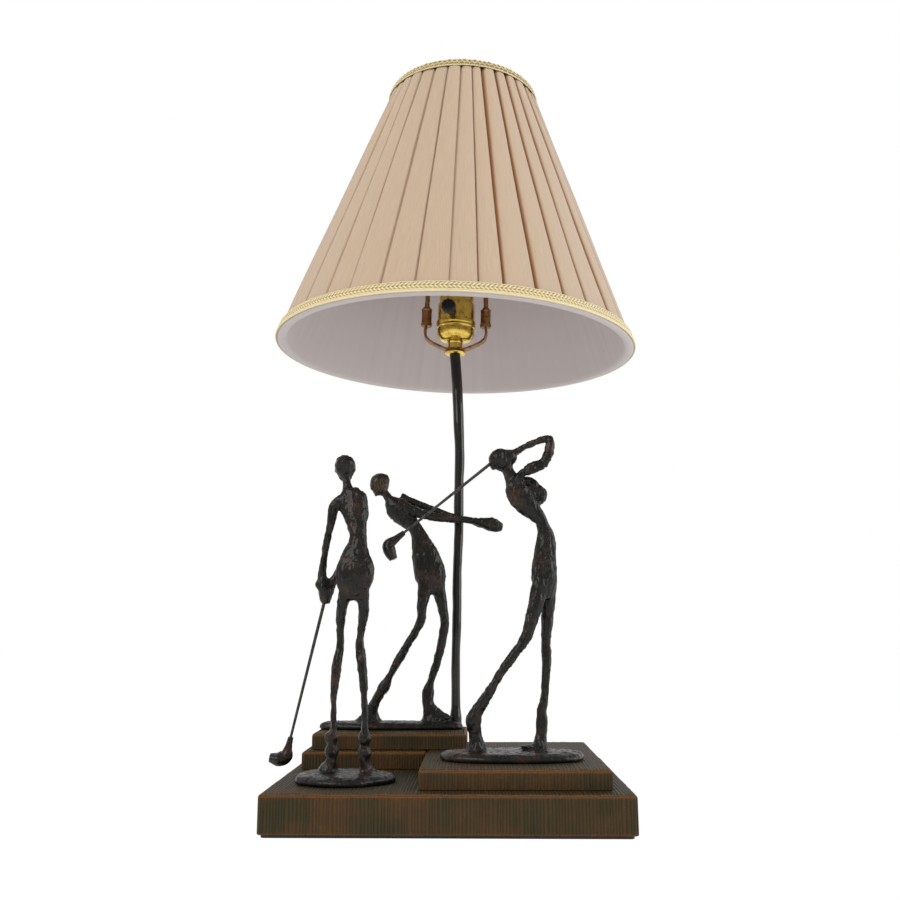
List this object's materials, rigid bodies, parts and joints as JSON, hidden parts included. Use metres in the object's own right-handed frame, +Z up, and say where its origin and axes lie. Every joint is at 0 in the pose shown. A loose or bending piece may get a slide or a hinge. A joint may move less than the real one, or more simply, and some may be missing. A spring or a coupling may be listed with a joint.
{
  "type": "figural table lamp",
  "caption": "Figural table lamp: slender cast golfers on a stepped wooden base, wavy bronze rod, turn-knob socket with harp, pleated fabric empire shade.",
  "frame": {"origin": "underside of the felt, straight below the foot of the lamp rod", "axes": "+Z up along the rod, +X to the right and -Y to the front as the picture shows the lamp"},
  "size_m": [0.3116, 0.3215, 0.6234],
  "materials": {
    "base_wood": "dark olive brown stained hardwood, hand worked",
    "felt": "black felt",
    "bronze": "cast, near-black brown patina",
    "club_steel": "darkened steel rod",
    "screw_steel": "zinc plated",
    "bright_brass": "polished",
    "aged_brass": "aged, coppery",
    "black_plastic": "moulded",
    "bushing_plastic": "moulded",
    "liner_card": "plain",
    "porcelain": "unglazed porcelain",
    "thread_aluminium": "rolled thread",
    "bulb_glass": "frosted",
    "frame_wire": "cream coated wire",
    "pleated_fabric": "beige box-pleated cloth",
    "lining_fabric": "white lining",
    "trim_braid": "cream braid"
  },
  "bodies": {
    "stand": {"base_slab": "base_wood", "right_platform": "base_wood", "rear_step_lower": "base_wood", "rear_step_upper": "base_wood", "base_felt": "felt", "platform_screws": "screw_steel", "step_screws": "screw_steel", "plinth_screws": "screw_steel", "cord_bushing": "bushing_plastic", "golfer_address": "bronze", "golfer_follow_through": "bronze", "golfer_finish": "bronze", "club_shaft_address": "club_steel", "club_shaft_finish": "club_steel", "club_head_address": "bronze", "club_head_finish": "bronze", "lamp_rod": "bronze", "rod_washer": "screw_steel", "rod_nut": "screw_steel", "check_ring": "bright_brass", "harp_saddle": "aged_brass", "harp_bow": "aged_brass", "harp_stud": "aged_brass", "socket_cap": "bright_brass", "cap_set_screw": "bright_brass", "socket_shell": "bright_brass", "socket_liner": "liner_card", "socket_body": "porcelain", "terminal_screws": "bright_brass", "screw_shell": "bright_brass", "center_contact": "bright_brass", "switch_bushing": "black_plastic"},
    "switch": {"switch_stem": "bright_brass", "switch_knob": "black_plastic"},
    "sleeve_left": {"harp_sleeve_left": "aged_brass"},
    "sleeve_right": {"harp_sleeve_right": "aged_brass"},
    "bulb": {"bulb_contact": "thread_aluminium", "bulb_base": "thread_aluminium", "bulb_glass": "bulb_glass"},
    "finial": {"finial": "bright_brass"},
    "shade": {"spider_washer": "frame_wire", "shade_spider": "frame_wire", "shade_top_ring": "frame_wire", "shade_bottom_ring": "frame_wire", "shade_ribs": "frame_wire", "shade_cover": "pleated_fabric", "shade_lining": "lining_fabric", "top_trim": "trim_braid", "bottom_trim": "trim_braid"}
  },
  "joints": [
    {"name": "shade_swivel", "type": "hinge", "parent": "stand", "child": "shade", "pos_m": [0.00826, -0.00242, 0.59785], "axis": [0.034, -0.0105, 0.9994], "continuous": true},
    {"name": "finial_turn", "type": "hinge", "parent": "stand", "child": "finial", "pos_m": [0.00843, -0.00247, 0.60285], "axis": [0.034, -0.0105, 0.9994], "continuous": true},
    {"name": "bulb_turn", "type": "hinge", "parent": "stand", "child": "bulb", "pos_m": [0.00244, -0.00063, 0.42696], "axis": [0.034, -0.0105, 0.9994], "continuous": true},
    {"name": "switch_turn", "type": "hinge", "parent": "stand", "child": "switch", "pos_m": [0.00157, -0.00036, 0.40138], "axis": [-0.191, -0.9816, -0.0038], "continuous": true},
    {"name": "sleeve_left_lift", "type": "slide", "parent": "stand", "child": "sleeve_left", "axis": [0.034, -0.0105, 0.9994], "range_m": [0, 0.01]},
    {"name": "sleeve_right_lift", "type": "slide", "parent": "stand", "child": "sleeve_right", "axis": [0.034, -0.0105, 0.9994], "range_m": [0, 0.01]}
  ]
}
